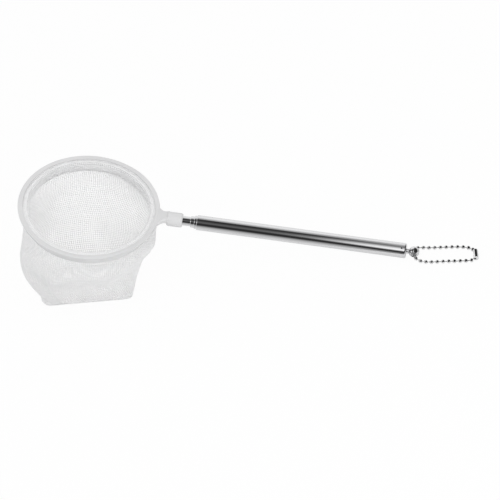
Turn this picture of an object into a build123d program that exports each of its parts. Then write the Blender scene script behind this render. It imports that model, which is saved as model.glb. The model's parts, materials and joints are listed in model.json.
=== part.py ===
from build123d import *
from dataclasses import astuple, dataclass
from math import asin, cos, degrees, radians, sin, sqrt
import os

# Aquarium fish net with a telescopic handle, standing on a table on its bag and its tail ball.
# Millimetres, +Z up. The table is Z = 0 and the origin is the middle of the bag's flat foot.
# +X runs from the net towards the tail. The handle slopes down to the tail, so most pieces are drawn
# on planes of the handle: its x runs along the handle's axis from the hoop's centre to the tail, its
# y is the frame's Y, and its z is the hoop's normal.

# Hoop, moulded in one piece with its neck and socket
hoop_outer_radius = 42.8
hoop_band = 3.2
hoop_depth = 7.5
hoop_taper = 3.9
hoop_rise = 0.9
hoop_edge_radius = 0.5
hoop_foot_radius = 0.4
hoop_inner_edge_radius = 0.3
ledge_width = 2.0
hoop_height = 63.7
hoop_ahead = 15.0
neck_length = 4.2
neck_width = 7.6
neck_top = 3.0
neck_bottom = -0.9
neck_flare = 3.6
neck_root = 2.3
neck_edge_radius = 0.9
socket_length = 9.6
socket_radius = 4.3
socket_front_radius = 1.4
socket_end_radius = 1.3
socket_bore_depth = 8.0

# Clamp ring that holds the bag's hem in the hoop
clamp_band = 2.7
clamp_depth = 3.0
clamp_inset = 0.55
clamp_edge_radius = 0.7

# Net bag: its cloth, then for each level the height, the middle along X, and how far the level's length
# and width are drawn in from the mouth at either end
cloth = 0.5
cloth_clearance = 0.05
shoulder_height = 40.0
shoulder_middle = 7.0
shoulder_length_draw = -2.05
shoulder_width_draw = 3.55
belly_height = 22.5
belly_middle = -0.8
belly_length_draw = 1.85
belly_width_draw = 11.55
ankle_height = 7.5
ankle_middle = -2.2
ankle_length_draw = 7.15
ankle_width_draw = 19.05
foot_length_draw = 12.05
foot_width_draw = 23.75
mesh_across = 12
mesh_rows = (2, 2, 2, 1)
mesh_open_share = 0.62
mesh_reach = 8.0

# Telescopic handle of four tubes
grip_diameter = 9.0
grip_length = 126.0
tube_wall = 0.28
tube_gap = 0.28
front_tube_showing = 4.7
third_tube_showing = 2.3
second_tube_showing = 1.5
lip_length = 1.2
lip_nose_radius = 0.45
slide_clearance = 0.05
press_clearance = 0.01
ridge_height = 0.14
ridge_width = 1.0
collar_length = 6.0
collar_clearance = 0.03
collar_play = 0.1
collar_split = 0.8
bush_length = 2.5
bush_clearance = 0.06
nesting_step = 1.0

# Tail plug, swivelling ball and washer
plug_length = 9.0
plug_cap_length = 1.2
plug_cap_edge_radius = 0.9
plug_recess_radius = 2.9
plug_recess_depth = 2.2
crimp_from_end = 1.4
crimp_radius = 0.9
crimp_depth = 0.4
crimp_lean = 64.0
crimp_count = 3
crimp_groove_width = 2.2
crimp_groove_depth = 0.75
ball_radius = 3.25
ball_gap = 1.3
ball_neck_radius = 1.5
shank_radius = 1.2
shank_clearance = 0.05
swivel_play = 0.1
washer_radius = 2.6
washer_thickness = 0.5
rivet_head_radius = 2.0
rivet_head_length = 0.9
bore_radius = 1.55
bore_edge_radius = 0.35

# Ball chain and its clasp
bead_radius = 1.2
bead_wall = 0.2
bead_pitch = 3.6
link_radius = 0.25
link_head_radius = 0.42
link_head_seat = 0.5
link_clearance = 0.1
clasp_length = 6.6
clasp_wall = 0.25
clasp_clearance = 0.1
clasp_slot = 1.4
clasp_seat = 1.8

# The chain's way from the clasp round to the clasp, as places past the ball and to either side of it
chain_out = ((35.4, 0.4), (31.4, 2.2), (23.9, 3.3), (9.2, 4.3), (3.3, 5.2))
chain_back = ((2.9, -5.6), (6.6, -7.0), (10.1, -7.7), (21.7, -8.4), (33.0, -9.3), (36.3, -9.5))
clasp_middle = (38.6, -5.0)
clasp_turn = -78.0


os.makedirs("parts", exist_ok=True)

# Stations along the handle, from the hoop's centre
neck_start = hoop_outer_radius - neck_root
socket_start = hoop_outer_radius + neck_length
socket_end = socket_start + socket_length
tube_step = tube_wall + tube_gap
grip_radius = grip_diameter / 2
tube_radii = [grip_radius - step * tube_step for step in range(4)]
third_front = socket_end + front_tube_showing
second_front = third_front + third_tube_showing
grip_front = second_front + second_tube_showing
grip_end = grip_front + grip_length
grip_tube_rear = grip_end - plug_cap_length
plug_front = grip_end - plug_length
ball_station = grip_end + ball_gap + ball_radius

# Places and planes of the slanted handle
tilt = asin((hoop_height - ball_radius) / ball_station)
handle = Plane(
    origin=(hoop_ahead, 0, hoop_height),
    x_dir=(cos(tilt), 0, -sin(tilt)),
    z_dir=(sin(tilt), 0, cos(tilt)),
)
lathe = Plane(handle.origin, x_dir=handle.x_dir, z_dir=-handle.y_dir)
handle_axis = Axis(handle.origin, handle.x_dir)
hoop_axis = Axis(handle.origin, handle.z_dir)
ball_centre = handle.from_local_coords((ball_station, 0, 0))


def across(station):
    """The plane square to the handle at a station, facing the tail."""
    return Plane(handle.from_local_coords((station, 0, 0)), x_dir=handle.y_dir, z_dir=handle.x_dir)


def turned(outline, axis, label):
    """A piece turned about an axis from an outline of (along the handle, along the hoop's normal)."""
    with BuildPart() as piece:
        with BuildSketch(lathe):
            with BuildLine():
                Polyline(*outline, close=True)
            make_face()
        revolve(axis=axis)
    piece.part.label = label
    return piece


# Hoop: a band that tapers in to a ledge under the clamp ring, a flared neck and a socket for the front tube
hoop_inner_radius = hoop_outer_radius - hoop_band
hoop_bottom = hoop_rise - hoop_depth
ledge_radius = hoop_inner_radius - ledge_width
clamp_top = hoop_rise - clamp_inset
clamp_bottom = clamp_top - clamp_depth
ledge_top = clamp_bottom - cloth - 2 * cloth_clearance
neck_root_top = hoop_rise - hoop_edge_radius / 2
neck_widths = (
    (neck_start, neck_width + 2 * neck_flare),
    (hoop_outer_radius + 0.1 * neck_length, neck_width + neck_flare),
    (hoop_outer_radius + 0.4 * neck_length, neck_width + neck_flare / 3),
    (hoop_outer_radius + 0.75 * neck_length, neck_width),
    (socket_start + socket_front_radius, neck_width),
)
front_tube_radius = tube_radii[3]
with BuildPart() as hoop:
    with BuildSketch(lathe) as band:
        with BuildLine():
            Polyline(
                (ledge_radius, hoop_bottom),
                (ledge_radius, ledge_top),
                (hoop_inner_radius, ledge_top),
                (hoop_inner_radius, hoop_rise),
                (hoop_outer_radius, hoop_rise),
                (hoop_outer_radius - hoop_taper, hoop_bottom),
                close=True,
            )
        make_face()
        foot_corners = band.vertices().group_by(Axis.Y)[0]
        top_corners = band.vertices().group_by(Axis.Y)[-1].sort_by(Axis.X)
        fillet(top_corners[-1], hoop_edge_radius)
        fillet(top_corners[0], hoop_inner_edge_radius)
        fillet(foot_corners, hoop_foot_radius)
    revolve(axis=hoop_axis)
    for station, width in neck_widths:
        rise = min((station - neck_start) / (socket_start - neck_start), 1.0)
        top = neck_root_top + (neck_top - neck_root_top) * rise
        height = top - neck_bottom
        with BuildSketch(across(station)):
            with Locations((0, (top + neck_bottom) / 2)):
                RectangleRounded(width, height, min(neck_edge_radius, 0.45 * height))
    loft()
    with BuildSketch(across(socket_start)):
        Circle(socket_radius)
    socket = extrude(amount=socket_length, mode=Mode.PRIVATE)
    socket_front, socket_rear = socket.edges().filter_by(GeomType.CIRCLE).sort_by(handle_axis)
    socket = socket.fillet(socket_front_radius, [socket_front])
    socket_rear = socket.edges().filter_by(GeomType.CIRCLE).sort_by(handle_axis)[-1]
    add(socket.fillet(socket_end_radius, [socket_rear]))
    with BuildSketch(across(socket_end)):
        Circle(front_tube_radius + press_clearance)
    extrude(amount=-socket_bore_depth, mode=Mode.SUBTRACT)
hoop.part.label = "hoop"
export_step(hoop.part, "parts/hoop.step")

# Clamp ring inside the hoop, with the bag's hem between the two
clamp_outer_radius = hoop_inner_radius - cloth - 2 * cloth_clearance
clamp_inner_radius = clamp_outer_radius - clamp_band
hem_outer_radius = hoop_inner_radius - cloth_clearance
with BuildPart() as clamp_ring:
    with BuildSketch(lathe) as clamp_band_section:
        with Locations((clamp_outer_radius - clamp_band / 2, (clamp_top + clamp_bottom) / 2)):
            Rectangle(clamp_band, clamp_depth)
        fillet(clamp_band_section.vertices().group_by(Axis.X)[0], clamp_edge_radius)
    revolve(axis=hoop_axis)
clamp_ring.part.label = "clamp_ring"
export_step(clamp_ring.part, "parts/clamp_ring.step")


@dataclass
class BagLevel:
    """One level outline of the bag, four arcs through its sides and its corners."""

    height: float
    middle: float
    length_draw: float
    width_draw: float
    corner_share: float
    tilt_share: float


throat_radius = ledge_radius - cloth_clearance
throat_draw = hem_outer_radius - throat_radius
throat_height = hoop_height + hoop_bottom * cos(tilt)
throat_middle = hoop_ahead + hoop_bottom * sin(tilt)
bag_foot = BagLevel(0.0, 0.0, foot_length_draw, foot_width_draw, 0.92, 0.0)
bag_levels = (
    BagLevel(throat_height, throat_middle, throat_draw, throat_draw, sqrt(0.5), 1.0),
    BagLevel(shoulder_height, shoulder_middle, shoulder_length_draw, shoulder_width_draw, 0.73, 0.4),
    BagLevel(belly_height, belly_middle, belly_length_draw, belly_width_draw, 0.77, 0.2),
    BagLevel(ankle_height, ankle_middle, ankle_length_draw, ankle_width_draw, 0.82, 0.05),
    bag_foot,
)


def bag_outline(level, inset=0.0):
    """The outline of one level of the bag, drawn in by an inset; the foot is also raised by it."""
    lean = tilt * level.tilt_share
    lift = inset if level is bag_foot else 0.0
    plane = Plane(
        origin=(level.middle, 0, level.height + lift),
        x_dir=(cos(lean), 0, -sin(lean)),
        z_dir=(sin(lean), 0, cos(lean)),
    )
    side_x = hem_outer_radius - level.length_draw - inset
    side_y = hem_outer_radius - level.width_draw - inset
    corner_x = side_x * level.corner_share
    corner_y = side_y * level.corner_share
    with BuildSketch(plane) as outline:
        with BuildLine():
            ThreePointArc((corner_x, -corner_y), (side_x, 0), (corner_x, corner_y))
            ThreePointArc((corner_x, corner_y), (0, side_y), (-corner_x, corner_y))
            ThreePointArc((-corner_x, corner_y), (-side_x, 0), (-corner_x, -corner_y))
            ThreePointArc((-corner_x, -corner_y), (0, -side_y), (corner_x, -corner_y))
        make_face()
    return outline.sketch


def mesh_openings(upper, lower, rows):
    """Places and sizes of the rows of openings between two levels of the bag, evenly spaced round it."""
    top = bag_outline(upper).wire()
    bottom = bag_outline(lower).wire()
    count = 2 * mesh_across
    for row in range(rows):
        share = (row + 0.5) / rows
        level = BagLevel(*(a + (b - a) * share for a, b in zip(astuple(upper), astuple(lower))))
        ring = bag_outline(level).wire()
        for step in range(count):
            turn = (step + 0.5) / count
            drop = bottom.position_at(turn) - top.position_at(turn)
            along = ring.tangent_at(turn)
            place = Plane(ring.position_at(turn), x_dir=along, z_dir=along.cross(drop))
            yield place, mesh_open_share * ring.length / count, mesh_open_share * drop.length / rows


# Net bag: a thin open-meshed pouch that widens under the hoop and stands on a flat foot, its hem taken up
# over the ledge, between hoop and clamp ring, and turned in over the clamp ring
hem_top = clamp_top + cloth_clearance + cloth
hem_low = clamp_bottom - cloth_clearance
hem_inner_radius = clamp_inner_radius - cloth_clearance - cloth
with BuildPart() as net_bag:
    loft([bag_outline(level) for level in bag_levels])
    loft([bag_outline(level, cloth) for level in bag_levels], mode=Mode.SUBTRACT)
    openings = []
    for upper, lower, rows in zip(bag_levels, bag_levels[1:], mesh_rows):
        for place, width, height in mesh_openings(upper, lower, rows):
            with Locations(place):
                openings.append(Box(width, height, mesh_reach, mode=Mode.PRIVATE))
    add(openings, mode=Mode.SUBTRACT)
    with BuildSketch(lathe):
        with BuildLine():
            Polyline(
                (throat_radius, hoop_bottom),
                (throat_radius, hem_low - cloth),
                (hem_outer_radius, hem_low - cloth),
                (hem_outer_radius, hem_top),
                (hem_inner_radius, hem_top),
                (hem_inner_radius, clamp_bottom),
                (hem_inner_radius + cloth, clamp_bottom),
                (hem_inner_radius + cloth, hem_top - cloth),
                (hem_outer_radius - cloth, hem_top - cloth),
                (hem_outer_radius - cloth, hem_low),
                (throat_radius - cloth, hem_low),
                (throat_radius - cloth, hoop_bottom),
                close=True,
            )
        make_face()
    revolve(axis=hoop_axis)
net_bag.part.label = "net_bag"
export_step(net_bag.part, "parts/net_bag.step")


def lipped_tube(front, rear, radius, label):
    """A thin tube with its front end rolled in to a lip that guides the next smaller tube."""
    bore = radius - tube_wall
    lip = radius - tube_step + slide_clearance
    with BuildPart() as tube:
        with BuildSketch(lathe) as wall:
            with BuildLine():
                Polyline(
                    (front, lip),
                    (front, radius),
                    (rear, radius),
                    (rear, bore),
                    (front + lip_length, bore),
                    (front + lip_length, lip),
                    close=True,
                )
            make_face()
            fillet(wall.vertices().group_by(Axis.X)[0].sort_by(Axis.Y)[-1], lip_nose_radius)
        revolve(axis=handle_axis)
    tube.part.label = label
    return tube


def ridge_front(rear):
    """Where a sliding tube's ridge starts: it stops the tube at the lip of the tube around it."""
    return rear - bush_length - collar_length - 2 * collar_play - ridge_width


# The three sliding tubes end one behind another in front of the tail plug
second_rear = plug_front - nesting_step
third_rear = second_rear - nesting_step
front_rear = third_rear - nesting_step
front_start = socket_end - socket_bore_depth + press_clearance
sliding = (
    ("second", second_front, second_rear, tube_radii[1]),
    ("third", third_front, third_rear, tube_radii[2]),
    ("front", front_start, front_rear, tube_radii[3]),
)
for name, front, rear, radius in sliding:
    start = ridge_front(rear)
    outside_bore = radius + tube_gap

    # Tube, with a ridge rolled up near its rear end
    if name == "front":
        bore = radius - tube_wall
        body = turned(((front, bore), (front, radius), (rear, radius), (rear, bore)), handle_axis, name)
    else:
        body = lipped_tube(front, rear, radius, name)
    with BuildPart() as tube:
        add(body.part)
        with BuildSketch(lathe):
            with BuildLine():
                Polyline(
                    (start, radius - tube_wall / 2),
                    (start, radius + ridge_height),
                    (start + ridge_width, radius + ridge_height),
                    (start + ridge_width, radius - tube_wall / 2),
                    close=True,
                )
            make_face()
        revolve(axis=handle_axis)
    tube.part.label = f"{name}_tube"
    export_step(tube.part, f"parts/{name}_tube.step")

    # Split spring collar that grips the bore of the tube around it
    collar_start = start + ridge_width + collar_play
    with BuildPart() as collar:
        with BuildSketch(across(collar_start)):
            Circle(outside_bore - collar_clearance)
            Circle(radius + collar_clearance, mode=Mode.SUBTRACT)
            with Locations((0, -outside_bore)):
                Rectangle(collar_split, 2 * outside_bore, mode=Mode.SUBTRACT)
        extrude(amount=collar_length)
    collar.part.label = f"{name}_collar"
    export_step(collar.part, f"parts/{name}_collar.step")

    # Stop bush pressed on the tube's rear end
    with BuildPart() as bush:
        with BuildSketch(across(rear - bush_length)):
            Circle(outside_bore - bush_clearance)
            Circle(radius + press_clearance, mode=Mode.SUBTRACT)
        extrude(amount=bush_length)
    bush.part.label = f"{name}_stop_bush"
    export_step(bush.part, f"parts/{name}_stop_bush.step")

# Grip tube, crimped into the tail plug's groove by punched dimples
grip_bore = grip_radius - tube_wall
crimp_station = grip_tube_rear - crimp_from_end
crimp_centre = grip_radius + crimp_radius - crimp_depth
crimp_angles = [radians(90.0 - crimp_lean + 360.0 / crimp_count * step) for step in range(crimp_count)]
crimp_places = [
    handle.from_local_coords((crimp_station, -sin(angle) * crimp_centre, cos(angle) * crimp_centre))
    for angle in crimp_angles
]
with BuildPart() as crimp_core:
    with BuildSketch(across(plug_front)):
        Circle(grip_bore)
    extrude(amount=grip_tube_rear - plug_front)
    with Locations(crimp_places):
        Sphere(crimp_radius + tube_wall, mode=Mode.SUBTRACT)
with BuildPart() as grip_tube:
    add(lipped_tube(grip_front, plug_front, grip_radius, "grip").part)
    with BuildSketch(across(plug_front)):
        Circle(grip_radius)
    extrude(amount=grip_tube_rear - plug_front)
    add(crimp_core.part, mode=Mode.SUBTRACT)
    with Locations(crimp_places):
        Sphere(crimp_radius, mode=Mode.SUBTRACT)
grip_tube.part.label = "grip_tube"
export_step(grip_tube.part, "parts/grip_tube.step")

# Tail plug: fills the grip tube's end, closes it with a rounded cap and carries the swivelling ball's shank
plug_radius = grip_bore - press_clearance
shank_hole = shank_radius + shank_clearance
groove_start = crimp_station - crimp_groove_width / 2
groove_end = crimp_station + crimp_groove_width / 2
groove_radius = plug_radius - crimp_groove_depth
with BuildPart() as tail_plug:
    with BuildSketch(lathe):
        with BuildLine():
            Polyline(
                (plug_front, plug_recess_radius),
                (plug_front, plug_radius),
                (groove_start, plug_radius),
                (groove_start, groove_radius),
                (groove_end, groove_radius),
                (groove_end, plug_radius),
                (grip_tube_rear, plug_radius),
                (grip_tube_rear, grip_radius),
                (grip_end - plug_cap_edge_radius, grip_radius),
            )
            RadiusArc(
                (grip_end - plug_cap_edge_radius, grip_radius),
                (grip_end, grip_radius - plug_cap_edge_radius),
                plug_cap_edge_radius,
            )
            Polyline(
                (grip_end, grip_radius - plug_cap_edge_radius),
                (grip_end, shank_hole),
                (plug_front + plug_recess_depth, shank_hole),
                (plug_front + plug_recess_depth, plug_recess_radius),
                (plug_front, plug_recess_radius),
            )
        make_face()
    revolve(axis=handle_axis)
tail_plug.part.label = "tail_plug"
export_step(tail_plug.part, "parts/tail_plug.step")

# Swivel washer in the plug's recess, under the shank's riveted head
washer_rear = plug_front + plug_recess_depth - swivel_play / 2
with BuildPart() as swivel_washer:
    with BuildSketch(across(washer_rear)):
        Circle(washer_radius)
        Circle(shank_hole, mode=Mode.SUBTRACT)
    extrude(amount=-washer_thickness)
swivel_washer.part.label = "swivel_washer"
export_step(swivel_washer.part, "parts/swivel_washer.step")

# Tail ball: ball, neck, shank and riveted head in one, with a cross bore for the chain
rivet_rear = washer_rear - washer_thickness - swivel_play / 2
rivet_front = rivet_rear - rivet_head_length
neck_front = grip_end + swivel_play
with BuildPart() as tail_ball:
    with BuildSketch(lathe):
        with BuildLine():
            Polyline(
                (rivet_front, 0),
                (rivet_front, rivet_head_radius),
                (rivet_rear, rivet_head_radius),
                (rivet_rear, shank_radius),
                (neck_front, shank_radius),
                (neck_front, ball_neck_radius),
                (ball_station, ball_neck_radius),
                (ball_station, 0),
                close=True,
            )
        make_face()
    revolve(axis=handle_axis)
    with Locations(ball_centre):
        Sphere(ball_radius)
    with BuildSketch(Plane(ball_centre, x_dir=(1, 0, 0), z_dir=(0, 1, 0))):
        Circle(bore_radius)
    extrude(amount=2 * ball_radius, both=True, mode=Mode.SUBTRACT)
    bore_mouths = tail_ball.edges().filter_by(GeomType.CIRCLE).group_by(Axis.Y)
    fillet([bore_mouths[0][0], bore_mouths[-1][0]], bore_edge_radius)
tail_ball.part.label = "tail_ball"
export_step(tail_ball.part, "parts/tail_ball.step")

# Clasp: a sleeve with closed ends, a slot towards the ball and a keyhole for the chain's last bead
clasp_bore = bead_radius + clasp_clearance
clasp_radius = clasp_bore + clasp_wall
clasp_centre = Vector(ball_centre.X + clasp_middle[0], clasp_middle[1], clasp_radius)
clasp_axis = Vector(1, 0, 0).rotate(Axis.Z, clasp_turn)
clasp_back = clasp_axis.rotate(Axis.Z, -90)
clasp_plane = Plane(clasp_centre, x_dir=clasp_back, z_dir=clasp_axis)
with BuildPart() as chain_clasp:
    with BuildSketch(clasp_plane):
        Circle(clasp_radius)
    extrude(amount=clasp_length / 2, both=True)
    with BuildSketch(clasp_plane):
        Circle(clasp_bore)
    extrude(amount=clasp_length / 2 - clasp_wall, both=True, mode=Mode.SUBTRACT)
    with BuildSketch(clasp_plane):
        with Locations((clasp_radius, 0)):
            Rectangle(2 * clasp_radius, clasp_slot)
    extrude(amount=clasp_length, both=True, mode=Mode.SUBTRACT)
    with BuildSketch(Plane(clasp_centre, z_dir=clasp_back)):
        Circle(clasp_bore)
    extrude(amount=2 * clasp_radius, mode=Mode.SUBTRACT)
chain_clasp.part.label = "chain_clasp"
export_step(chain_clasp.part, "parts/chain_clasp.step")

# The chain's beads, evenly spaced from one seat in the clasp through the ball's bore to the other
first_seat = clasp_centre - clasp_axis * clasp_seat
last_seat = clasp_centre + clasp_axis * clasp_seat
bore_mouth = ball_radius
with BuildLine() as chain_way:
    Polyline(
        first_seat,
        *[(ball_centre.X + x, y, bead_radius) for x, y in chain_out],
        ball_centre + Vector(0, bore_mouth, 0),
        ball_centre - Vector(0, bore_mouth, 0),
        *[(ball_centre.X + x, y, bead_radius) for x, y in chain_back],
        last_seat,
    )
way = chain_way.wires()[0]
link_count = round(way.length / bead_pitch)
beads_at = [way.position_at(step / link_count) for step in range(link_count + 1)]
links = list(zip(beads_at, beads_at[1:]))
turns = [0.0] + [(b - a).get_angle(d - c) for (a, b), (c, d) in zip(links, links[1:])] + [0.0]


def lengthwise(start, end):
    """The level plane that holds a stretch of chain, with its x along the stretch."""
    along = end - start
    return Plane(start, x_dir=along, z_dir=along.cross(Vector(0, 0, 1)))


# Each bead is a hollow ball with a hole at either end, wide enough for the turn of its two links
with BuildPart() as chain_beads:
    for step, centre in enumerate(beads_at):
        before = beads_at[max(step - 1, 0)]
        after = beads_at[min(step + 1, link_count)]
        hole = link_radius + link_clearance + bead_radius * sin(radians(turns[step] / 2))
        inside = bead_radius - bead_wall
        outer_reach = sqrt(bead_radius**2 - hole**2)
        inner_reach = sqrt(inside**2 - hole**2)
        bead_plane = lengthwise(centre, centre + after - before)
        with BuildSketch(bead_plane):
            with BuildLine():
                ThreePointArc((-outer_reach, hole), (0, bead_radius), (outer_reach, hole))
                Line((outer_reach, hole), (inner_reach, hole))
                ThreePointArc((inner_reach, hole), (0, inside), (-inner_reach, hole))
                Line((-inner_reach, hole), (-outer_reach, hole))
            make_face()
        revolve(axis=Axis(centre, bead_plane.x_dir))
chain_beads.part.label = "chain_beads"
export_step(chain_beads.part, "parts/chain_beads.step")

# The links between the beads: short wires with a round head held inside each bead
head_reach = sqrt(link_head_radius**2 - link_radius**2)
with BuildPart() as chain_links:
    for start, end in links:
        link_plane = lengthwise(start, end)
        far_seat = (end - start).length - link_head_seat
        with BuildSketch(link_plane):
            with BuildLine():
                ThreePointArc(
                    (link_head_seat - link_head_radius, 0),
                    (link_head_seat, link_head_radius),
                    (link_head_seat + head_reach, link_radius),
                )
                Line((link_head_seat + head_reach, link_radius), (far_seat - head_reach, link_radius))
                ThreePointArc(
                    (far_seat - head_reach, link_radius),
                    (far_seat, link_head_radius),
                    (far_seat + link_head_radius, 0),
                )
                Line((far_seat + link_head_radius, 0), (link_head_seat - link_head_radius, 0))
            make_face()
        revolve(axis=Axis(start, link_plane.x_dir))
chain_links.part.label = "chain_links"
export_step(chain_links.part, "parts/chain_links.step")

print("handle slope in degrees", degrees(tilt))
print("ball centre", ball_centre)
print("chain length", way.length, "links", link_count, "sharpest turn", max(turns))
for name, lip_front, rear in (
    ("second", grip_front, second_rear),
    ("third", second_front, third_rear),
    ("front", third_front, front_rear),
):
    print(name, "travel", ridge_front(rear) - lip_front - lip_length)
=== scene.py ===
"""Looks of an aquarium fish net: woven mesh bag, white hoop, polished telescopic handle and ball chain."""
import json
from dataclasses import dataclass
from math import asin, cos, pi, radians, sin

import bpy
import numpy as np
from mathutils import Matrix, Vector


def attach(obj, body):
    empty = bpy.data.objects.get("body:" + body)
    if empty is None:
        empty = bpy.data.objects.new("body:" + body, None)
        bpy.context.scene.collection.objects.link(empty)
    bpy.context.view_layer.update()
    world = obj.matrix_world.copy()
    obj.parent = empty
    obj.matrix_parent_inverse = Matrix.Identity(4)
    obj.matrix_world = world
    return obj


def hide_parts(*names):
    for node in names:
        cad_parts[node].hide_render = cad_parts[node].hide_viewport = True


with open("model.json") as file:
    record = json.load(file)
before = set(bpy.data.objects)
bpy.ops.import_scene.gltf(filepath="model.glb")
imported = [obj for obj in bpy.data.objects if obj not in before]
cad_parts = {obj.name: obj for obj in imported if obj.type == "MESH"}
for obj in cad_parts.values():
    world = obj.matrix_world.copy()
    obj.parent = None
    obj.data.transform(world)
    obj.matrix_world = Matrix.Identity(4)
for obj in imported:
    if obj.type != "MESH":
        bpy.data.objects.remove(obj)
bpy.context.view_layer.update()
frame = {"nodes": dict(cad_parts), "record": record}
nodes = frame["nodes"]

MM = 0.001

# Handle and hoop, as the solids have them
HOOP_CENTRE = np.array((15.0, 0.0, 63.7)) * MM
BALL_STATION = 195.65 * MM
BALL_RADIUS = 3.25 * MM
TILT = asin((HOOP_CENTRE[2] - BALL_RADIUS) / BALL_STATION)
ALONG = np.array((cos(TILT), 0.0, -sin(TILT)))
ACROSS = np.array((0.0, 1.0, 0.0))
NORMAL = np.array((sin(TILT), 0.0, cos(TILT)))
UP = np.array((0.0, 0.0, 1.0))
HOOP_INNER = 39.6 * MM
CLAMP_TOP = 0.35 * MM
CLAMP_BOTTOM = -2.65 * MM
CLAMP_OUTER = 39.0 * MM
CLAMP_INNER = 36.3 * MM

# Net cloth: its threads' thickness, the distance between them and how far they weave up and down
THREAD_RADIUS = 0.18 * MM
THREAD_PITCH = 1.25 * MM
THREAD_SIDES = 6
WEAVE = 0.09 * MM
TABLE_GAP = 0.3 * MM

# Seams, and what tells a row under the foot: how level it lies, and how far out its long side is
SEAM_RADIUS = 0.22 * MM
SEAM_FOOT = 0.6 * MM
SOLE_EDGE = 0.01 * MM
LONG_SIDE = 0.9
PANEL_SAMPLES = 400
LEAST_LENGTH = 1e-12

# Hem: where it starts beside the hoop, how it bends over the clamp ring and how far it hangs below it
HEM_START = -1.2 * MM
HEM_RISE = 0.1 * MM
HEM_SHOULDER = 0.2 * MM
HEM_BEND = 0.6 * MM
HEM_LIP = (0.1 * MM, 0.35 * MM)
HEM_TURN = 1.0 * MM
HEM_HANG = 2.9 * MM
HEM_CLOSENESS = 1.4
HEM_CORD_RADIUS = 0.32 * MM
HEM_CORD_DEPTH = 0.1 * MM
HEM_CORD_STEPS = 241
KNOT_ANGLES = (radians(75.0), radians(79.5))
KNOT_HEIGHT = -1.7 * MM
KNOT_SIZE = 0.2 * MM
KNOT_THREAD = 0.26 * MM
KNOT_STEPS = 61
TAPE_GAP = 0.03 * MM
TAPE_THICKNESS = 0.02 * MM

# Reflector: its distance from the handle's axis, its points round that axis and its stations along it
REFLECTOR_RADIUS = 280.0 * MM
REFLECTOR_NEAREST = 35.0 * MM
REFLECTOR_ANGLES = (radians(-100.0), radians(116.0))
REFLECTOR_STEPS = 109
REFLECTOR_ENDS = (-1200.0 * MM, 1200.0 * MM)
REFLECTOR_FINE = (220.0 * MM, 240.0 * MM)
REFLECTOR_STATIONS = (12, 97, 9, 8)
LEAST_SINK = 1e-6
REFLECTOR_DARK = 0.03

# Its streak, which the grip shows: stations where it grows and ends, tones, and spread above and below it
STREAK_MIDDLE = 136.0 * MM
STREAK_RUN = 13.0 * MM
STREAK_END = 186.0 * MM
STREAK_END_RUN = 3.0 * MM
STREAK_ANGLE = radians(4.0)
STREAK_FAINT = 0.11
STREAK_GAIN = 1.22
STREAK_ABOVE = (radians(15.0), radians(11.0))
STREAK_BELOW = radians(8.0)

# Its wings beyond the handle's ends, and its foot, low edge and crown round the handle
WINGS = (-20.0 * MM, 400.0 * MM)
WING_TONE = 1.1
WING_SPREAD = radians(15.0)
FOOT_TONE = 0.6
FOOT_ANGLE = radians(-36.0)
FOOT_DROP = radians(24.0)
FOOT_FADE = radians(32.0)
LOW_TONE = 0.22
LOW_ANGLE = radians(-68.0)
CROWN_ANGLE = radians(50.0)
CROWN_LIFT = radians(34.0)
CROWN_FADE = (radians(34.0), radians(22.0))

# Grey flag behind the chain
FLAG_PLACE = np.array((430.0, 190.0, 0.0)) * MM
FLAG_SIZE = (220.0 * MM, 160.0 * MM)
FLAG_GREY = 0.3

# Table, surroundings and lamps; a lamp is its place in metres, its size in metres and its power in watts
TABLE_HALF = 2.0
TABLE_GREY = 0.85
TABLE_WHITE = 0.95
TABLE_MIRROR = 0.3
SOFT_LIGHT = 0.76
KEY_LAMP = ((-0.1, -0.4, 1.05), 0.8, 2.1)
FILL_LAMP = ((0.7, -0.7, 0.5), 0.9, 3.3)

# Camera at the photograph's viewing angle
VIEW_AZIMUTH = radians(23.14)
VIEW_ELEVATION = radians(41.99)
VIEW_ROLL = radians(-21.03)
VIEW_TARGET = Vector((104.3, -3.9, 20.7)) * MM
VIEW_WIDTH = 297.75 * MM
LENS = 800.0
SENSOR = 36.0

# Where a noise texture's range starts and ends
NOISE_LOW = 0.3
NOISE_HIGH = 0.7


def camera_axes():
    """The camera's right, up and back directions."""
    back = Vector((
        sin(VIEW_AZIMUTH) * cos(VIEW_ELEVATION),
        -cos(VIEW_AZIMUTH) * cos(VIEW_ELEVATION),
        sin(VIEW_ELEVATION),
    ))
    level = Vector((cos(VIEW_AZIMUTH), sin(VIEW_AZIMUTH), 0.0))
    right = Matrix.Rotation(VIEW_ROLL, 3, back) @ level
    return right, back.cross(right), back


def add_camera():
    """A long lens that frames the net as the photograph does."""
    right, up, back = camera_axes()
    data = bpy.data.cameras.new("camera")
    data.lens = LENS
    data.sensor_width = SENSOR
    camera = bpy.data.objects.new("camera", data)
    place = VIEW_TARGET + back * (VIEW_WIDTH * LENS / SENSOR)
    rows = [(right[i], up[i], back[i], place[i]) for i in range(3)]
    camera.matrix_world = Matrix((*rows, (0.0, 0.0, 0.0, 1.0)))
    bpy.context.collection.objects.link(camera)
    bpy.context.scene.camera = camera


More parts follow.
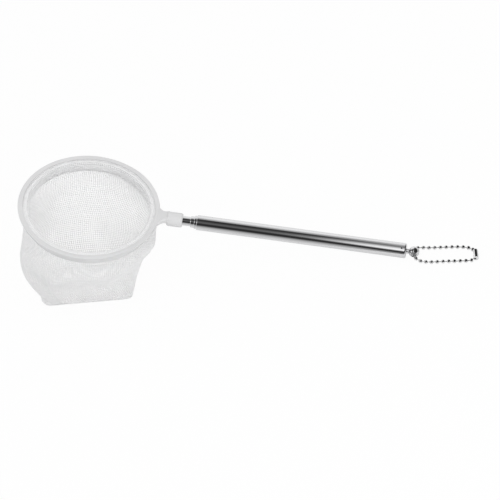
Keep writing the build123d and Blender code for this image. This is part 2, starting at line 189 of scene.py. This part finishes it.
class Shader:
    """A node material around one Principled shader, with short calls for its textures."""

    def __init__(self, name, **sockets):
        self.material = bpy.data.materials.new(name)
        self.material.use_nodes = True
        self.tree = self.material.node_tree
        self.principled = self.tree.nodes["Principled BSDF"]
        for socket, value in sockets.items():
            self.principled.inputs[socket.replace("_", " ")].default_value = value

    def node(self, kind, **settings):
        """A new node with these settings; one that is a socket's name fills or links that socket."""
        made = self.tree.nodes.new(kind)
        for key, value in settings.items():
            socket = made.inputs.get(key.replace("_", " "))
            if socket is None:
                setattr(made, key, value)
            elif isinstance(value, bpy.types.NodeSocket):
                self.tree.links.new(value, socket)
            else:
                socket.default_value = value
        return made

    def link(self, output, socket):
        self.tree.links.new(output, self.principled.inputs[socket])

    def place(self, turn=(0.0, 0.0, 0.0), scale=(1.0, 1.0, 1.0)):
        """Object coordinates, turned and scaled."""
        coordinates = self.node("ShaderNodeTexCoord").outputs["Object"]
        mapping = self.node("ShaderNodeMapping", Vector=coordinates, Rotation=turn, Scale=scale)
        return mapping.outputs["Vector"]

    def noise(self, vector, scale, detail=3.0):
        return self.node("ShaderNodeTexNoise", Vector=vector, Scale=scale, Detail=detail).outputs["Fac"]

    def between(self, factor, low, high):
        """A number that follows a texture from low to high."""
        ramp = self.node("ShaderNodeMapRange", Value=factor)
        ramp.inputs["From Min"].default_value = NOISE_LOW
        ramp.inputs["From Max"].default_value = NOISE_HIGH
        ramp.inputs["To Min"].default_value = low
        ramp.inputs["To Max"].default_value = high
        return ramp.outputs["Result"]

    def tint(self, factor, low, high):
        """A colour that follows a texture from one tone to another."""
        ramp = self.node("ShaderNodeValToRGB", Fac=factor)
        ramp.color_ramp.elements[0].position = NOISE_LOW
        ramp.color_ramp.elements[1].position = NOISE_HIGH
        ramp.color_ramp.elements[0].color = (*low, 1.0)
        ramp.color_ramp.elements[1].color = (*high, 1.0)
        return ramp.outputs["Color"]

    def bump(self, height, strength, distance):
        made = self.node("ShaderNodeBump", Height=height, Strength=strength, Distance=distance)
        self.link(made.outputs["Normal"], "Normal")


def white_plastic():
    """Satin moulded plastic with a faint skin and slight flow shading."""
    shader = Shader("white_plastic", IOR=1.49)
    place = shader.place()
    tone = shader.tint(shader.noise(place, 45.0), (0.65, 0.65, 0.655), (0.695, 0.695, 0.70))
    shader.link(tone, "Base Color")
    shader.link(shader.between(shader.noise(place, 700.0), 0.36, 0.46), "Roughness")
    shader.bump(shader.noise(place, 2200.0, 2.0), 0.06, 0.0002)
    return shader.material


def net_fabric():
    """White nylon thread with a slight sheen and uneven tone from thread to thread."""
    shader = Shader(
        "net_fabric", IOR=1.5, Roughness=0.5, Sheen_Weight=0.15,
        Subsurface_Weight=0.6, Subsurface_Scale=0.0004,
    )
    shader.principled.inputs["Subsurface Radius"].default_value = (1.0, 1.0, 1.0)
    place = shader.place()
    tone = shader.tint(shader.noise(place, 260.0), (0.86, 0.86, 0.865), (0.91, 0.91, 0.915))
    shader.link(tone, "Base Color")
    shader.bump(shader.noise(place, 6000.0, 2.0), 0.25, 0.00005)
    return shader.material


def sewn_tape_painted_light():
    """White woven tape, painted brighter than the open mesh over it: its lighter tone is painted light that
    lifts the shade on the hem's inner wall.
    """
    shader = Shader("sewn_tape_painted_light", IOR=1.5, Roughness=0.6)
    place = shader.place()
    # painted light: the tape's tone is brighter than the threads' so that the shaded inner wall of the hem
    # renders lighter
    tone = shader.tint(shader.noise(place, 260.0), (0.94, 0.94, 0.945), (0.98, 0.98, 0.985))
    shader.link(tone, "Base Color")
    shader.bump(shader.noise(place, 5000.0, 2.0), 0.2, 0.00005)
    return shader.material


def stainless():
    """Polished drawn tube: fine marks run along the handle, with a few rubbed patches."""
    shader = Shader("stainless", Metallic=1.0)
    drawn = shader.place(turn=(0.0, -TILT, 0.0), scale=(0.02, 1.0, 1.0))
    rubbed = shader.place()
    tone = shader.tint(shader.noise(drawn, 1600.0), (0.70, 0.70, 0.71), (0.76, 0.76, 0.77))
    shader.link(tone, "Base Color")
    shader.link(shader.between(shader.noise(rubbed, 120.0, 5.0), 0.04, 0.09), "Roughness")
    shader.bump(shader.noise(drawn, 2600.0, 2.0), 0.02, 0.0001)
    return shader.material


def chain_metal():
    """Bright nickel plate with slight tarnish between the beads."""
    shader = Shader("chain_metal", Metallic=1.0)
    place = shader.place()
    tone = shader.tint(shader.noise(place, 500.0), (0.72, 0.72, 0.725), (0.86, 0.86, 0.865))
    shader.link(tone, "Base Color")
    shader.link(shader.between(shader.noise(place, 900.0, 4.0), 0.04, 0.1), "Roughness")
    shader.bump(shader.noise(place, 3000.0, 2.0), 0.03, 0.0001)
    return shader.material


def bronze():
    """Bare spring bronze with a mottled skin."""
    shader = Shader("bronze", Metallic=1.0)
    place = shader.place()
    tone = shader.tint(shader.noise(place, 700.0, 5.0), (0.46, 0.30, 0.13), (0.64, 0.46, 0.22))
    shader.link(tone, "Base Color")
    shader.link(shader.between(shader.noise(place, 1500.0, 4.0), 0.22, 0.4), "Roughness")
    return shader.material


def add_mesh(name, points, faces):
    """A new object with a mesh of these points and faces."""
    mesh = bpy.data.meshes.new(name)
    mesh.from_pydata(points, [], faces)
    made = bpy.data.objects.new(name, mesh)
    bpy.context.collection.objects.link(made)
    return made


@dataclass
class Level:
    """One level outline of the bag, in millimetres: an oval whose corners fill out as its power grows."""

    height: float
    middle: float
    half_length: float
    half_width: float
    power: float
    tilt_share: float


MOUTH = Level(57.7, 13.05, 37.3, 37.3, 2.0, 1.0)
COLLAR = Level(50.1, 11.7, 39.2, 38.2, 2.02, 0.72)
SHOULDER = Level(39.2, 7.7, 40.1, 36.1, 2.25, 0.4)
BELLY = Level(23.3, -0.3, 37.9, 27.4, 2.1, 0.2)
ANKLE = Level(4.2, -1.7, 29.4, 18.6, 4.4, 0.05)
FOOT = Level(0.5, -1.3, 27.6, 15.6, 13.0, 0.0)
SOLE = Level(0.0, -1.2, 27.3, 15.2, 15.0, 0.0)
SEAM = Level(0.0, -1.2, 27.3, 0.2, 15.0, 0.0)
LEVELS = (MOUTH, COLLAR, SHOULDER, BELLY, ANKLE, FOOT, SOLE, SEAM)
OUTLINE_STEPS = 241


def smooth_levels(share):
    """The bag's level at a share of the way through LEVELS, on a smooth curve through them."""
    place = share * (len(LEVELS) - 1)
    first = min(int(place), len(LEVELS) - 2)
    step = place - first
    picks = [LEVELS[min(max(first + k, 0), len(LEVELS) - 1)] for k in (-1, 0, 1, 2)]
    flat = first >= LEVELS.index(ANKLE)

    def value(name):
        a, b, c, d = (getattr(level, name) for level in picks)
        if flat:
            return b + (c - b) * step
        return b + 0.5 * step * (c - a + step * (2 * a - 5 * b + 4 * c - d + step * (3 * (b - c) + d - a)))

    return Level(*(value(name) for name in Level.__dataclass_fields__))


def outline(level, side):
    """Half of a level's outline from the left seam to the right seam, on the near (-1) or far (1) side."""
    turn = np.linspace(pi, 0.0, OUTLINE_STEPS)
    reach = 2.0 / level.power
    x = np.sign(np.cos(turn)) * np.abs(np.cos(turn)) ** reach * level.half_length
    y = side * np.abs(np.sin(turn)) ** reach * level.half_width
    lean = TILT * level.tilt_share
    return np.stack((
        level.middle + x * cos(lean),
        y,
        level.height - x * sin(lean),
    ), axis=1) * MM + TABLE_GAP * UP


def lengths(points):
    """How far along a line of points each one lies."""
    steps = np.linalg.norm(np.diff(points, axis=0), axis=1)
    return np.concatenate(((0.0,), np.cumsum(steps)))


def along_line(points, places):
    """Points at the given distances along a line of points."""
    run = lengths(points)
    return np.stack([np.interp(places, run, points[:, axis]) for axis in range(3)], axis=1)


@dataclass
class Fold:
    """A soft crease of the cloth: from one (share round the panel, share down it) to another."""

    start: tuple
    end: tuple
    height: float
    width: float


NEAR_FOLDS = (
    Fold((0.36, 0.14), (0.37, 0.74), 3.0, 12.0),
    Fold((0.96, 0.17), (0.93, 0.26), 1.6, 11.0),
    Fold((0.95, 0.30), (0.88, 0.36), -2.0, 8.0),
    Fold((0.32, 0.26), (0.35, 0.80), -1.6, 6.0),
    Fold((0.62, 0.18), (0.80, 0.70), 0.9, 12.0),
    Fold((0.14, 0.20), (0.22, 0.66), 0.9, 11.0),
    Fold((0.50, 0.14), (0.52, 0.34), -0.8, 8.0),
)
FAR_FOLDS = (
    Fold((0.48, 0.12), (0.55, 0.62), 1.8, 13.0),
    Fold((0.30, 0.20), (0.24, 0.70), 1.2, 12.0),
    Fold((0.72, 0.16), (0.66, 0.66), -1.3, 12.0),
    Fold((0.86, 0.26), (0.70, 0.40), -1.2, 9.0),
)
FOLD_EASE = 0.12
FOLD_SHARPNESS = 1.2


def fold_rise(folds, around, down, width):
    """How far the folds lift the cloth at a place of a panel, given the panel's width there."""
    rise = np.zeros_like(around)
    for fold in folds:
        (a0, d0), (a1, d1) = fold.start, fold.end
        share = np.clip((down - d0) / (d1 - d0), 0.0, 1.0)
        line = a0 + (a1 - a0) * share
        away = np.abs(around - line) * width / (fold.width * MM)
        begun = np.clip((down - d0) / FOLD_EASE + 0.5, 0.0, 1.0)
        ease = begun * np.clip((d1 - down) / FOLD_EASE + 0.5, 0.0, 1.0)
        crest = np.clip(1.0 - away, 0.0, 1.0) ** FOLD_SHARPNESS
        rise += fold.height * MM * crest * ease * ease * (3.0 - 2.0 * ease)
    return rise


def thread_mesh(name, threads, radius=THREAD_RADIUS):
    """One mesh of round threads; each thread is (points, normals), with closed ends."""
    turns = np.linspace(0.0, 2.0 * pi, THREAD_SIDES, endpoint=False)
    verts, faces = [], []
    count = 0
    for points, normals in threads:
        steps = len(points)
        ahead = np.gradient(points, axis=0)
        ahead /= np.linalg.norm(ahead, axis=1, keepdims=True)
        beside = np.cross(ahead, normals)
        beside /= np.linalg.norm(beside, axis=1, keepdims=True)
        upright = np.cross(beside, ahead)
        ring = np.cos(turns)[None, :, None] * upright[:, None, :]
        ring = ring + np.sin(turns)[None, :, None] * beside[:, None, :]
        verts.append((points[:, None, :] + radius * ring).reshape(-1, 3))
        index = count + np.arange(steps * THREAD_SIDES).reshape(steps, THREAD_SIDES)
        after = np.roll(index, -1, axis=1)
        quads = np.stack((index[:-1], after[:-1], after[1:], index[1:]), axis=-1).reshape(-1, 4)
        faces.extend(quads[:, ::-1].tolist())
        faces.append(index[0].tolist())
        faces.append(index[-1][::-1].tolist())
        count += steps * THREAD_SIDES
    made = add_mesh(name, np.concatenate(verts).tolist(), faces)
    made.data.shade_smooth()
    return made


def surface_normals(grid, outward):
    """Normals of a grid of points, turned to point outward."""
    down = np.gradient(grid, axis=0)
    around = np.gradient(grid, axis=1)
    normals = np.cross(around, down)
    normals /= np.linalg.norm(normals, axis=2, keepdims=True) + LEAST_LENGTH
    flip = np.sign(np.sum(normals * outward, axis=2, keepdims=True))
    return normals * np.where(flip == 0.0, 1.0, flip)


def weave(grid, normals, crossing):
    """A grid's points on the threads that run down it and across it, which pass over and under in turn."""
    over = np.where(crossing % 2 == 0, WEAVE, -WEAVE)[:, :, None]
    return grid + normals * over, grid - normals * over


def panel_rows(side):
    """The panel's rows a thread pitch apart down its middle, each row's share of the way, and its length."""
    shares = np.linspace(0.0, 1.0, PANEL_SAMPLES)
    outlines = [outline(smooth_levels(share), side) for share in shares]
    middles = np.array([points[OUTLINE_STEPS // 2] for points in outlines])
    run = lengths(middles)
    count = int(run[-1] / THREAD_PITCH)
    picked = np.interp(np.linspace(0.0, run[-1], count + 1), run, shares)
    rows = [outline(smooth_levels(share), side) for share in picked]
    return rows, np.linspace(0.0, 1.0, count + 1), run[-1]


def row_ends(line):
    """The first and last point that a row's cross thread takes in: under the foot, its long side's."""
    if line[:, 2].max() > TABLE_GAP + SOLE_EDGE:
        return 0, len(line) - 1
    reach = np.abs(line[:, 1])
    long_side = np.flatnonzero(reach > LONG_SIDE * reach.max())
    return long_side[0], long_side[-1]


def bag_panel(name, side, folds):
    """One of the bag's two panels, woven from threads, with its flat size and its area."""
    rows, shares, length = panel_rows(side)
    widths = np.array([lengths(row)[-1] for row in rows])
    half_count = int(widths.max() / 2 / THREAD_PITCH)
    columns = np.arange(-half_count, half_count + 1)
    places = columns * THREAD_PITCH
    grid = np.stack([
        along_line(row, np.clip(places + width / 2, 0.0, width)) for row, width in zip(rows, widths)
    ])
    centre = np.array([row.mean(axis=0) * (1.0, 0.0, 1.0) for row in rows])
    normals = surface_normals(grid, grid - centre[:, None, :])
    ends = [row_ends(row) for row in rows]
    limits = np.array([lengths(row)[list(pair)] for row, pair in zip(rows, ends)])
    across = places[None, :] + widths[:, None] / 2
    inside = (across >= limits[:, :1]) & (across <= limits[:, 1:])
    around = np.clip(places[None, :] / widths[:, None] + 0.5, 0.0, 1.0)
    rise = fold_rise(folds, around, shares[:, None] * np.ones_like(around), widths[:, None])
    grid = grid + normals * rise[:, :, None]
    grid[:, :, 2] = np.maximum(grid[:, :, 2], TABLE_GAP)
    normals = surface_normals(grid, normals)
    warp, weft = weave(grid, normals, np.arange(len(rows))[:, None] + columns[None, :])
    threads = []
    for column in range(len(columns)):
        valid = np.flatnonzero(inside[:, column])
        if len(valid) > 1:
            threads.append((warp[valid, column], normals[valid, column]))
    for row, line in enumerate(rows):
        valid = np.flatnonzero(inside[row])
        first, last = ends[row]
        thread = np.concatenate((line[first][None], weft[row, valid], line[last][None]))
        threads.append((thread, normals[row, [valid[0], *valid, valid[-1]]]))
    edge = outline(SOLE, side)
    threads.append((edge, np.tile(UP, (len(edge), 1))))
    panel = thread_mesh(name, threads)
    shown = limits[:, 1] - limits[:, 0]
    area = float(np.sum((shown[1:] + shown[:-1]) / 2) * length / (len(rows) - 1))
    return panel, (float(widths.max()), float(length)), area


def bag_piece(piece, material):
    """Gives a piece of the bag its cloth and its body, and hides the solid that it stands for."""
    piece.data.materials.append(material)
    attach(piece, "net_head")
    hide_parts("net_bag")


def dress_seams(material):
    """The corded seams down the bag's two sides, where its panels meet."""
    rows = panel_rows(-1)[0]
    threads = []
    for end, outward in ((0, (-1.0, 0.0, 0.0)), (-1, (1.0, 0.0, 0.0))):
        line = np.array([row[end] for row in rows if row[end][2] > SEAM_FOOT])
        threads.append((line, np.tile(outward, (len(line), 1))))
    seams = thread_mesh("net_seams", threads, SEAM_RADIUS)
    bag_piece(seams, material)
    return seams


def dress_bag(material):
    """The bag's near and far panel, its hem, knots and seams, in place of its solid."""
    trim = [*dress_hem(material), dress_hem_cord(material), dress_knots(material), dress_seams(material)]
    for name, side, folds, goes_with in (
        ("net_bag_near", -1, NEAR_FOLDS, trim),
        ("net_bag_far", 1, FAR_FOLDS, []),
    ):
        panel, flat, area = bag_panel(name, side, folds)
        bag_piece(panel, material)


def dress_hem(material):
    """The hem: the mesh turned in over the clamp ring, of rings of thread and short cross threads."""
    gap = THREAD_RADIUS + WEAVE
    profile = np.array((
        (HOOP_INNER - gap, HEM_START),
        (HOOP_INNER - gap, CLAMP_TOP + HEM_RISE),
        (CLAMP_OUTER - HEM_SHOULDER, CLAMP_TOP + gap),
        (CLAMP_INNER + HEM_BEND, CLAMP_TOP + gap),
        (CLAMP_INNER - HEM_LIP[0], CLAMP_TOP - HEM_LIP[1]),
        (CLAMP_INNER - gap, CLAMP_TOP - HEM_TURN),
        (CLAMP_INNER - gap, CLAMP_BOTTOM),
        (CLAMP_INNER, CLAMP_BOTTOM - HEM_HANG),
    ))
    line = np.stack((profile[:, 0], np.zeros(len(profile)), profile[:, 1]), axis=1)
    run = lengths(line)[-1]
    rings = int(run / THREAD_PITCH * HEM_CLOSENESS)
    section = along_line(line, np.linspace(0.0, run, rings + 1))
    spokes = 2 * int(pi * CLAMP_INNER / THREAD_PITCH)
    turn = np.linspace(0.0, 2.0 * pi, spokes, endpoint=False)
    outward = np.cos(turn)[:, None] * ALONG + np.sin(turn)[:, None] * ACROSS
    grid = HOOP_CENTRE + section[:, 0][:, None, None] * outward + section[:, 2][:, None, None] * NORMAL
    core = HOOP_CENTRE + (CLAMP_INNER + CLAMP_OUTER) / 2 * outward
    core = core + (CLAMP_TOP + CLAMP_BOTTOM) / 2 * NORMAL
    normals = surface_normals(grid, grid - core)
    warp, weft = weave(grid, normals, np.arange(rings + 1)[:, None] + np.arange(spokes)[None, :])
    threads = [(warp[:, spoke], normals[:, spoke]) for spoke in range(spokes)]
    for ring in range(rings + 1):
        closed = np.append(np.arange(spokes), (0,))
        threads.append((weft[ring, closed], normals[ring, closed]))
    hem = thread_mesh("net_hem", threads)
    bag_piece(hem, material)
    return [hem, hem_tape(grid, normals, gap, sewn_tape_painted_light())]


def hem_tape(grid, normals, gap, material):
    """The thin tape sewn under the hem's mesh, on the clamp ring: a closed band round that ring."""
    skins = [grid - normals * (gap - TAPE_GAP - lift) for lift in (TAPE_THICKNESS, 0.0)]
    section = np.concatenate((skins[0], skins[1][::-1]))
    index = np.arange(section[..., 0].size).reshape(section.shape[:2])
    below = np.roll(index, -1, axis=0)
    beside, corner = np.roll(index, -1, axis=1), np.roll(below, -1, axis=1)
    faces = np.stack((index, beside, corner, below), axis=-1).reshape(-1, 4)
    tape = add_mesh("net_hem_tape", section.reshape(-1, 3).tolist(), faces.tolist())
    tape.data.shade_smooth()
    bag_piece(tape, material)
    return tape


def dress_hem_cord(material):
    """The cord sewn in the hem's fold, which fills the gap between hoop and clamp ring."""
    turn = np.linspace(0.0, 2.0 * pi, HEM_CORD_STEPS)
    outward = np.cos(turn)[:, None] * ALONG + np.sin(turn)[:, None] * ACROSS
    line = HOOP_CENTRE + (HOOP_INNER + CLAMP_OUTER) / 2 * outward + (CLAMP_TOP - HEM_CORD_DEPTH) * NORMAL
    cord = thread_mesh("net_hem_cord", [(line, np.tile(NORMAL, (len(line), 1)))], HEM_CORD_RADIUS)
    bag_piece(cord, material)
    return cord


def dress_knots(material):
    """Two small knots on the hem's inner wall, where its sewing thread is tied off."""
    turn = np.linspace(0.0, 2.0 * pi, KNOT_STEPS)
    loop = KNOT_SIZE * np.stack((
        np.sin(turn) + 2.0 * np.sin(2.0 * turn), np.cos(turn) - 2.0 * np.cos(2.0 * turn), -np.sin(3.0 * turn),
    ), axis=1)
    threads = []
    for angle in KNOT_ANGLES:
        outward = cos(angle) * ALONG + sin(angle) * ACROSS
        beside = cos(angle) * ACROSS - sin(angle) * ALONG
        middle = HOOP_CENTRE + (CLAMP_INNER - 2.0 * KNOT_SIZE) * outward + KNOT_HEIGHT * NORMAL
        points = middle + loop @ np.stack((beside, NORMAL, outward))
        threads.append((points, np.tile(outward, (len(points), 1))))
    knots = thread_mesh("net_knots", threads, KNOT_THREAD)
    bag_piece(knots, material)
    return knots


def dress_solids():
    """Gives each solid its material, by the record's slots, and returns the materials."""
    made = {
        "white_plastic": white_plastic(),
        "net_fabric": net_fabric(),
        "stainless": stainless(),
        "chain_metal": chain_metal(),
        "bronze": bronze(),
    }
    for part in frame["record"]["subparts"]:
        solid = nodes[part["node"]]
        solid.data.materials.clear()
        solid.data.materials.append(made[part["material_slot"]])
    return made


def fade(value, start, run):
    """A share that rises from none at a start to full at a run beyond it."""
    return np.clip((value - start) / run, 0.0, 1.0)


def swell(value, middle, run):
    """A share that rises smoothly from none to full about a middle."""
    return 1.0 / (1.0 + np.exp((middle - value) / run))


def reflector_tone(station, angle):
    """The reflector's tone: dark, with a streak, bright wings, a grey foot and a pale crown."""
    growth = swell(station, STREAK_MIDDLE, STREAK_RUN)
    away = angle - STREAK_ANGLE * (1.0 - growth)
    spread = np.where(away > 0.0, STREAK_ABOVE[0] + STREAK_ABOVE[1] * growth, STREAK_BELOW)
    streak = (STREAK_FAINT + STREAK_GAIN * growth) * np.exp(-0.5 * (away / spread) ** 2)
    past = swell(station, STREAK_END, STREAK_END_RUN)
    streak *= 1.0 - past
    beyond = np.where((station < WINGS[0]) | (station > WINGS[1]), WING_TONE, 0.0)
    wing = beyond * np.exp(-0.5 * (angle / WING_SPREAD) ** 2)
    foot = FOOT_TONE * fade(-angle, -FOOT_ANGLE + FOOT_DROP * past, FOOT_FADE)
    foot += LOW_TONE * fade(-angle, -LOW_ANGLE, FOOT_FADE)
    crown = fade(angle, CROWN_ANGLE + CROWN_LIFT * past, CROWN_FADE[0] + CROWN_FADE[1] * growth)
    return REFLECTOR_DARK + streak + wing + foot + crown


def mirror_card(name, grid, tones):
    """A studio card that only shows in reflections: a grid of points, with a tone for each."""
    index = np.arange(tones.size).reshape(tones.shape)
    faces = np.stack((index[:-1, :-1], index[1:, :-1], index[1:, 1:], index[:-1, 1:]), axis=-1)
    card = add_mesh(name, grid.reshape(-1, 3).tolist(), faces.reshape(-1, 4).tolist())
    card.data.attributes.new("tone", "FLOAT", "POINT").data.foreach_set("value", tones.ravel())
    material = bpy.data.materials.new(name)
    material.use_nodes = True
    tree = material.node_tree
    tree.nodes.clear()
    shade = tree.nodes.new("ShaderNodeAttribute")
    shade.attribute_name = "tone"
    glow = tree.nodes.new("ShaderNodeEmission")
    out = tree.nodes.new("ShaderNodeOutputMaterial")
    tree.links.new(shade.outputs["Fac"], glow.inputs["Strength"])
    tree.links.new(glow.outputs[0], out.inputs["Surface"])
    card.data.materials.append(material)
    card.visible_camera = False
    card.visible_diffuse = False
    card.visible_transmission = False
    card.visible_shadow = False


def add_reflector():
    """A large curved card in front of the handle, its foot on the table, that draws the metal's bands."""
    back = np.array(camera_axes()[2])
    facing = back - ALONG * back.dot(ALONG)
    facing /= np.linalg.norm(facing)
    above = np.cross(ALONG, facing)
    above *= np.sign(above[2])
    across = np.linspace(*REFLECTOR_ANGLES, REFLECTOR_STEPS)
    runs = (
        (REFLECTOR_ENDS[0], WINGS[0] - MM), (WINGS[0], REFLECTOR_FINE[0]),
        (REFLECTOR_FINE[1], WINGS[1]), (WINGS[1] + MM, REFLECTOR_ENDS[1]),
    )
    down = np.concatenate([np.linspace(*run, count) for run, count in zip(runs, REFLECTOR_STATIONS)])
    angle, station = np.meshgrid(across, down)
    turned = np.cos(angle)[..., None] * facing + np.sin(angle)[..., None] * above
    axis = HOOP_CENTRE + station[..., None] * ALONG
    sink = np.maximum(-turned[..., 2], LEAST_SINK)
    reach = np.clip((axis[..., 2] - MM) / sink, REFLECTOR_NEAREST, REFLECTOR_RADIUS)
    mirror_card("reflector", axis + reach[..., None] * turned, reflector_tone(station, angle))


def add_flag():
    """A grey card behind the chain that draws the edges of its clasp and beads."""
    toward = FLAG_PLACE / np.linalg.norm(FLAG_PLACE)
    beside = np.cross(UP, toward)
    width, height = FLAG_SIZE
    across, up = np.meshgrid((-width / 2, width / 2), (0.0, height))
    grid = FLAG_PLACE + across[..., None] * beside + up[..., None] * UP
    mirror_card("flag", grid, np.full_like(across, FLAG_GREY))


def white_rays(tree, camera, mirror, glass):
    """The share of plain white that is shown to the camera, in mirrors and through glass."""
    ray = tree.nodes.new("ShaderNodeLightPath")
    shown = None
    for kind, share in (("Is Camera Ray", camera), ("Is Glossy Ray", mirror), ("Is Transmission Ray", glass)):
        scaled = tree.nodes.new("ShaderNodeMath")
        scaled.operation = "MULTIPLY"
        scaled.inputs[1].default_value = share
        tree.links.new(ray.outputs[kind], scaled.inputs[0])
        if shown is None:
            shown = scaled.outputs[0]
            continue
        either = tree.nodes.new("ShaderNodeMath")
        either.operation = "MAXIMUM"
        tree.links.new(shown, either.inputs[0])
        tree.links.new(scaled.outputs[0], either.inputs[1])
        shown = either.outputs[0]
    return shown


def add_floor():
    """A white table that keeps the net's soft shadow."""
    corners = [(x * TABLE_HALF, y * TABLE_HALF, 0.0) for x, y in ((-1, -1), (1, -1), (1, 1), (-1, 1))]
    table = add_mesh("table", corners, [(0, 1, 2, 3)])
    material = bpy.data.materials.new("table_white")
    material.use_nodes = True
    tree = material.node_tree
    tree.nodes.clear()
    matt = tree.nodes.new("ShaderNodeBsdfDiffuse")
    matt.inputs["Color"].default_value = (TABLE_GREY, TABLE_GREY, TABLE_GREY, 1.0)
    glow = tree.nodes.new("ShaderNodeEmission")
    mix = tree.nodes.new("ShaderNodeMixShader")
    out = tree.nodes.new("ShaderNodeOutputMaterial")
    shown = white_rays(tree, camera=TABLE_WHITE, mirror=TABLE_MIRROR, glass=TABLE_WHITE)
    tree.links.new(shown, mix.inputs["Fac"])
    tree.links.new(matt.outputs[0], mix.inputs[1])
    tree.links.new(glow.outputs[0], mix.inputs[2])
    tree.links.new(mix.outputs[0], out.inputs["Surface"])
    table.data.materials.append(material)


def add_world():
    """Even white surroundings, full white to the camera and in reflections."""
    world = bpy.data.worlds.new("studio")
    bpy.context.scene.world = world
    world.use_nodes = True
    tree = world.node_tree
    tree.nodes.clear()
    seen = tree.nodes.new("ShaderNodeBackground")
    seen.inputs["Strength"].default_value = 1.0
    soft = tree.nodes.new("ShaderNodeBackground")
    soft.inputs["Strength"].default_value = SOFT_LIGHT
    for background in (seen, soft):
        background.inputs["Color"].default_value = (1.0, 1.0, 1.0, 1.0)
    mix = tree.nodes.new("ShaderNodeMixShader")
    out = tree.nodes.new("ShaderNodeOutputWorld")
    tree.links.new(white_rays(tree, camera=1.0, mirror=1.0, glass=1.0), mix.inputs["Fac"])
    tree.links.new(soft.outputs[0], mix.inputs[1])
    tree.links.new(seen.outputs[0], mix.inputs[2])
    tree.links.new(mix.outputs[0], out.inputs["Surface"])


def add_lamp(name, place, size, power):
    """A soft square lamp that looks at the middle of the part and isn't reflected."""
    data = bpy.data.lights.new(name, "AREA")
    data.size = size
    data.energy = power
    lamp = bpy.data.objects.new(name, data)
    lamp.location = place
    lamp.rotation_euler = (VIEW_TARGET - Vector(place)).to_track_quat("-Z", "Y").to_euler()
    lamp.visible_glossy = False
    bpy.context.collection.objects.link(lamp)


def add_studio():
    """White table, soft lamps, and the cards that the metal reflects."""
    add_floor()
    add_world()
    add_lamp("key", *KEY_LAMP)
    add_lamp("fill", *FILL_LAMP)
    add_reflector()
    add_flag()


bpy.context.scene.view_settings.view_transform = "Standard"
add_camera()
materials = dress_solids()
dress_bag(materials["net_fabric"])
add_studio()
